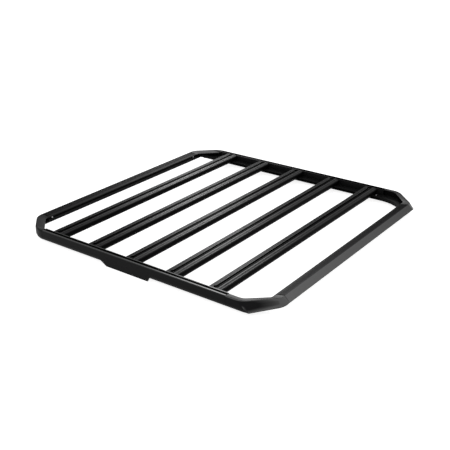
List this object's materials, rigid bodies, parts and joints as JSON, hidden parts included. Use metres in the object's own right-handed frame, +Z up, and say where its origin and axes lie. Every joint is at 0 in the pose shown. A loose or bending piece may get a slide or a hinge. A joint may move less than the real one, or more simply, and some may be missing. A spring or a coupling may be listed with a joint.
{
  "type": "flat platform roof rack",
  "caption": "Low flat platform roof rack: an open frame of black extruded rails with chamfered corners, slotted cross slats and a sloped front rail.",
  "frame": {"origin": "centre of the rack in plan, on the level of the undersides of the two side plates", "axes": "+Z up, +Y to the rear of the rack, +X to its left-hand side"},
  "size_m": [1.25, 1.234, 0.0555],
  "materials": {
    "rail_coat": "satin black powder coat on extruded aluminium",
    "end_rail_coat": "satin black powder coat on extruded aluminium",
    "slat_coat": "satin black powder coat on extruded aluminium",
    "corner_moulding": "fine-grained moulded black plastic",
    "plate_coat": "satin black powder coat"
  },
  "bodies": {
    "root": {"side_rail_right": "rail_coat", "side_rail_left": "rail_coat", "front_rail": "end_rail_coat", "rear_rail": "end_rail_coat", "corner_front_right": "corner_moulding", "corner_front_left": "corner_moulding", "corner_rear_right": "corner_moulding", "corner_rear_left": "corner_moulding", "slat_1": "slat_coat", "slat_2": "slat_coat", "slat_3": "slat_coat", "slat_4": "slat_coat", "slat_5": "slat_coat", "side_plate_right": "plate_coat", "side_plate_left": "plate_coat"}
  },
  "joints": []
}
